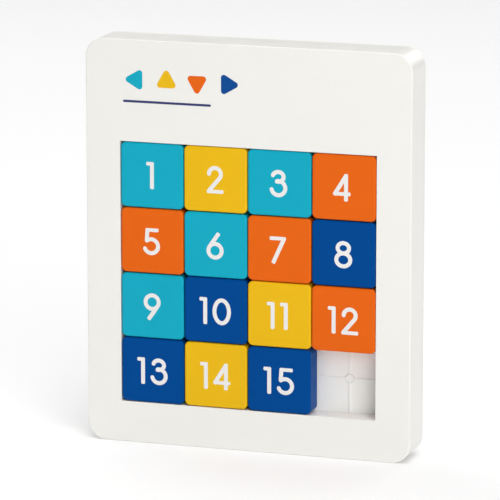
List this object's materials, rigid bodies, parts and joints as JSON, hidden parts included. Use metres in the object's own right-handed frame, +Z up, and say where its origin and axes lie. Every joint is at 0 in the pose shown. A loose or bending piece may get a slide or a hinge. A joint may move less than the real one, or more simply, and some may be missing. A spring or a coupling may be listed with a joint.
{
  "type": "sliding tile puzzle",
  "caption": "Square-grid sliding tile puzzle: numbered tiles on magnets in a shallow tray, with one empty cell, set in a rounded upright frame.",
  "frame": {"origin": "middle of the bottom edge, half way through the thickness", "axes": "+Z up along the height, -Y out of the face, +X to the right as seen from the front"},
  "size_m": [0.1016, 0.0144, 0.1236],
  "materials": {
    "frame_white": "satin moulded",
    "tray_white": "satin moulded",
    "cover_white": "fine spark texture",
    "sheet_steel": "zinc plated",
    "screw_steel": "nickel plated",
    "print_ink": "printed, several colours",
    "tile_cyan": "satin moulded",
    "tile_yellow": "satin moulded",
    "tile_orange": "satin moulded",
    "tile_blue": "satin moulded",
    "numeral_white": "satin, second shot",
    "magnet_nickel": "nickel plated"
  },
  "bodies": {
    "frame": {"front_frame": "frame_white", "tray_floor": "tray_white", "steel_plate": "sheet_steel", "back_cover": "cover_white", "cover_screws": "screw_steel", "face_print": "print_ink"},
    "tile_01": {"tile_01": "tile_cyan", "tile_01_number": "numeral_white", "tile_01_magnet": "magnet_nickel"},
    "tile_02": {"tile_02": "tile_yellow", "tile_02_number": "numeral_white", "tile_02_magnet": "magnet_nickel"},
    "tile_03": {"tile_03": "tile_cyan", "tile_03_number": "numeral_white", "tile_03_magnet": "magnet_nickel"},
    "tile_04": {"tile_04": "tile_orange", "tile_04_number": "numeral_white", "tile_04_magnet": "magnet_nickel"},
    "tile_05": {"tile_05": "tile_orange", "tile_05_number": "numeral_white", "tile_05_magnet": "magnet_nickel"},
    "tile_06": {"tile_06": "tile_cyan", "tile_06_number": "numeral_white", "tile_06_magnet": "magnet_nickel"},
    "tile_07": {"tile_07": "tile_orange", "tile_07_number": "numeral_white", "tile_07_magnet": "magnet_nickel"},
    "tile_08": {"tile_08": "tile_blue", "tile_08_number": "numeral_white", "tile_08_magnet": "magnet_nickel"},
    "tile_09": {"tile_09": "tile_cyan", "tile_09_number": "numeral_white", "tile_09_magnet": "magnet_nickel"},
    "tile_10": {"tile_10": "tile_blue", "tile_10_number": "numeral_white", "tile_10_magnet": "magnet_nickel"},
    "tile_11": {"tile_11": "tile_yellow", "tile_11_number": "numeral_white", "tile_11_magnet": "magnet_nickel"},
    "tile_12": {"tile_12": "tile_orange", "tile_12_number": "numeral_white", "tile_12_magnet": "magnet_nickel"},
    "tile_13": {"tile_13": "tile_blue", "tile_13_number": "numeral_white", "tile_13_magnet": "magnet_nickel"},
    "tile_14": {"tile_14": "tile_yellow", "tile_14_number": "numeral_white", "tile_14_magnet": "magnet_nickel"},
    "tile_15": {"tile_15": "tile_blue", "tile_15_number": "numeral_white", "tile_15_magnet": "magnet_nickel"}
  },
  "joints": [
    {"name": "tile_13_slide", "type": "slide", "parent": "frame", "child": "tile_13", "axis": [1, 0, 0], "range_m": [0, 0.02]},
    {"name": "tile_14_slide", "type": "slide", "parent": "frame", "child": "tile_14", "axis": [1, 0, 0], "range_m": [0, 0.02]},
    {"name": "tile_15_slide", "type": "slide", "parent": "frame", "child": "tile_15", "axis": [1, 0, 0], "range_m": [0, 0.02]},
    {"name": "tile_04_slide", "type": "slide", "parent": "frame", "child": "tile_04", "axis": [0, 0, 1], "range_m": [-0.02, 0]},
    {"name": "tile_08_slide", "type": "slide", "parent": "frame", "child": "tile_08", "axis": [0, 0, 1], "range_m": [-0.02, 0]},
    {"name": "tile_12_slide", "type": "slide", "parent": "frame", "child": "tile_12", "axis": [0, 0, 1], "range_m": [-0.02, 0]},
    {"name": "tile_01_lift", "type": "slide", "parent": "frame", "child": "tile_01", "axis": [0, -1, 0], "range_m": [0, 0.012]},
    {"name": "tile_02_lift", "type": "slide", "parent": "frame", "child": "tile_02", "axis": [0, -1, 0], "range_m": [0, 0.012]},
    {"name": "tile_03_lift", "type": "slide", "parent": "frame", "child": "tile_03", "axis": [0, -1, 0], "range_m": [0, 0.012]},
    {"name": "tile_05_lift", "type": "slide", "parent": "frame", "child": "tile_05", "axis": [0, -1, 0], "range_m": [0, 0.012]},
    {"name": "tile_06_lift", "type": "slide", "parent": "frame", "child": "tile_06", "axis": [0, -1, 0], "range_m": [0, 0.012]},
    {"name": "tile_07_lift", "type": "slide", "parent": "frame", "child": "tile_07", "axis": [0, -1, 0], "range_m": [0, 0.012]},
    {"name": "tile_09_lift", "type": "slide", "parent": "frame", "child": "tile_09", "axis": [0, -1, 0], "range_m": [0, 0.012]},
    {"name": "tile_10_lift", "type": "slide", "parent": "frame", "child": "tile_10", "axis": [0, -1, 0], "range_m": [0, 0.012]},
    {"name": "tile_11_lift", "type": "slide", "parent": "frame", "child": "tile_11", "axis": [0, -1, 0], "range_m": [0, 0.012]}
  ],
  "couplings": [
    {"joint": "tile_14_slide", "follows": "tile_13_slide", "ratio": 1},
    {"joint": "tile_15_slide", "follows": "tile_13_slide", "ratio": 1},
    {"joint": "tile_08_slide", "follows": "tile_04_slide", "ratio": 1},
    {"joint": "tile_12_slide", "follows": "tile_04_slide", "ratio": 1}
  ]
}
